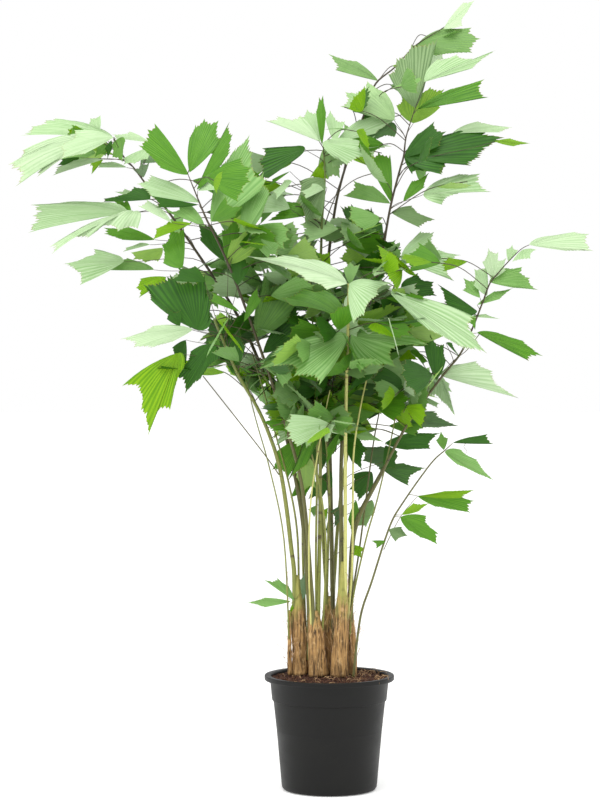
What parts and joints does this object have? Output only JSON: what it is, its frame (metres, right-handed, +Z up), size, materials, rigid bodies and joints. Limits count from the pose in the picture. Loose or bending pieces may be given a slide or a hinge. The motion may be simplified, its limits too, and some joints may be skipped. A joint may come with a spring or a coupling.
{
  "type": "potted fishtail palm",
  "caption": "Clumping fishtail palm in a round nursery pot: sheathed stems, long arching leaf stalks and ragged fan-shaped leaf blades that spread in an open crown.",
  "frame": {"origin": "centre of the pot's flat underside", "axes": "+Z up along the clump, +X to the right in the front view, front faces -Y"},
  "size_m": [1.5215, 1.0408, 2.0675],
  "materials": {
    "pot_plastic": "satin",
    "soil": "rough",
    "sheath": "rough",
    "stalk": "satin",
    "leaf": "satin"
  },
  "bodies": {
    "root": {"blade_back_left_end": "leaf", "blade_back_left_side": "leaf", "blade_back_right_end": "leaf", "blade_back_right_side": "leaf", "blade_centre_end": "leaf", "blade_centre_left": "leaf", "blade_centre_low": "leaf", "blade_dark_left_end": "leaf", "blade_dark_left_low": "leaf", "blade_dark_left_right": "leaf", "blade_far_left_end": "leaf", "blade_far_left_low": "leaf", "blade_far_left_middle": "leaf", "blade_front_end": "leaf", "blade_front_low_left": "leaf", "blade_front_low_right": "leaf", "blade_front_right": "leaf", "blade_inner_low_end": "leaf", "blade_inner_right_end": "leaf", "blade_inner_right_low": "leaf", "blade_low_left_end": "leaf", "blade_low_left_outer": "leaf", "blade_low_right_end": "leaf", "blade_low_right_low": "leaf", "blade_pup": "leaf", "blade_right_drape": "leaf", "blade_right_end": "leaf", "blade_right_inner": "leaf", "blade_right_low": "leaf", "blade_tall_right_end": "leaf", "blade_tall_right_left": "leaf", "blade_tall_right_low": "leaf", "blade_tall_right_middle": "leaf", "blade_tall_right_upper": "leaf", "blade_thin_left_end": "leaf", "blade_top_back_end": "leaf", "blade_top_back_left": "leaf", "pot": "pot_plastic", "soil": "soil", "stalk_back_left": "stalk", "stalk_back_right": "stalk", "stalk_centre": "stalk", "stalk_dark_left": "stalk", "stalk_far_left": "stalk", "stalk_front": "stalk", "stalk_inner_low": "stalk", "stalk_inner_right": "stalk", "stalk_low_left": "stalk", "stalk_low_right": "stalk", "stalk_right": "stalk", "stalk_tall_right": "stalk", "stalk_thin_left": "stalk", "stalk_top_back": "stalk", "stem_back": "sheath", "stem_far_right": "sheath", "stem_left": "sheath", "stem_middle": "sheath", "stem_pup": "sheath", "stem_right": "sheath", "stem_stump": "sheath"}
  },
  "joints": []
}
